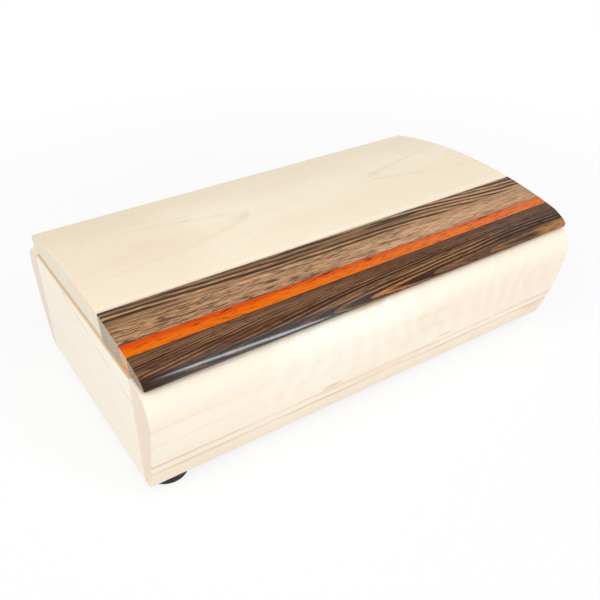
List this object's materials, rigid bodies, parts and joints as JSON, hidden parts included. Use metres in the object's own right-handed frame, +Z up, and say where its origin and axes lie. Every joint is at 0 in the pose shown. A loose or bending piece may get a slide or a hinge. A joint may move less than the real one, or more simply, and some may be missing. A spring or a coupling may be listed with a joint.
{
  "type": "keepsake box",
  "caption": "Low wooden keepsake box: outward-curved long sides, flat ends, rubber feet, and an arched laminated lid on rear stop hinges.",
  "frame": {"origin": "on the ground under the middle of the box, at the centre of the feet's base plane", "axes": "+X along the box's length to its right end as seen from the front, +Y to the hinged back, +Z up; the front faces -Y"},
  "size_m": [0.3, 0.184, 0.0952],
  "materials": {
    "maple": "pale maple, hand-rubbed satin lacquer",
    "maple_lid": "pale maple, satin lacquer",
    "wenge": "dark brown wenge with black lines, polished lacquer",
    "padauk": "orange-red padauk, polished lacquer",
    "brass": "satin brass",
    "brass_screw": "satin brass",
    "rubber": "matte black rubber",
    "liner_suede": "dark brown suede-like pile"
  },
  "bodies": {
    "box": {"front_board": "maple", "back_board": "maple", "left_end_panel": "maple", "right_end_panel": "maple", "bottom_panel": "maple", "bottom_liner": "liner_suede", "foot_front_left": "rubber", "foot_front_right": "rubber", "foot_back_left": "rubber", "foot_back_right": "rubber", "hinge_left_body_leaf": "brass", "hinge_right_body_leaf": "brass", "hinge_left_pin": "brass", "hinge_right_pin": "brass", "hinge_body_screws": "brass_screw"},
    "lid": {"lid_maple_panel": "maple_lid", "lid_rear_wenge_strip": "wenge", "lid_padauk_strip": "padauk", "lid_front_wenge_strip": "wenge", "hinge_left_lid_leaf": "brass", "hinge_right_lid_leaf": "brass", "hinge_lid_screws": "brass_screw"}
  },
  "joints": [
    {"name": "lid_hinge", "type": "hinge", "parent": "box", "child": "lid", "pos_m": [0, 0.0855, 0.07742], "axis": [-1, 0, 0], "range_deg": [0, 95]}
  ]
}
